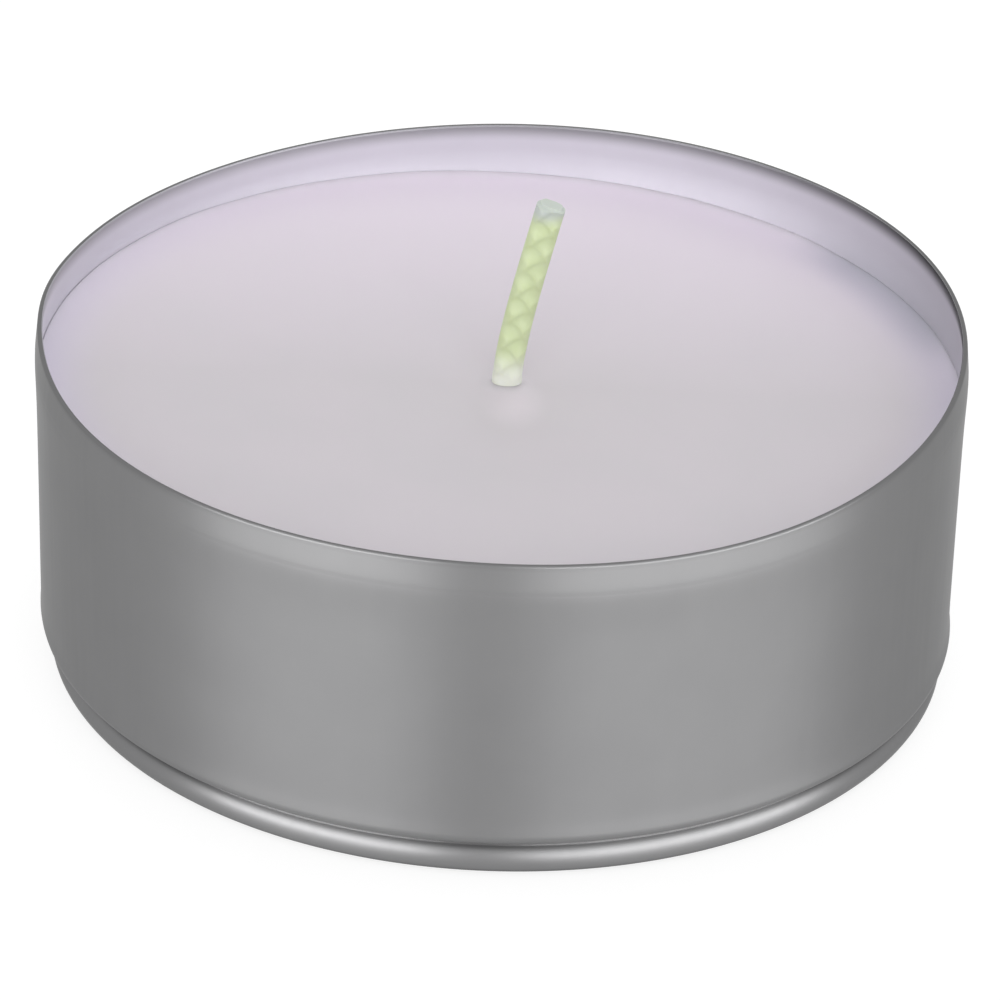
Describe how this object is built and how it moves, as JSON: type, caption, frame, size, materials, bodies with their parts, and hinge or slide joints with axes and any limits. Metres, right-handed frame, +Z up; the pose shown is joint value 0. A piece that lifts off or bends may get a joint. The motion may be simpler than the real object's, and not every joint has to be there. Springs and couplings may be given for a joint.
{
  "type": "tea light candle",
  "caption": "Short round candle in a foil cup with a folded rim and a beaded foot, with a braided wick held by a steel sustainer in the wax.",
  "frame": {"origin": "centre of the flat ring of the foot, on the surface the cup stands on, on the cup's axis", "axes": "+Z up along the cup's axis, -Y towards the viewer of the picture, and the wick leans towards +X"},
  "size_m": [0.038, 0.038, 0.0209],
  "materials": {
    "foil": "satin rolled foil, drawn to shape",
    "wax": "smooth cast paraffin wax, slightly translucent",
    "cotton": "braided cotton primed with wax",
    "steel": "tin-plated stamped sheet"
  },
  "bodies": {
    "root": {"cup": "foil", "wax": "wax", "wick": "cotton", "wick_sustainer": "steel"}
  },
  "joints": []
}
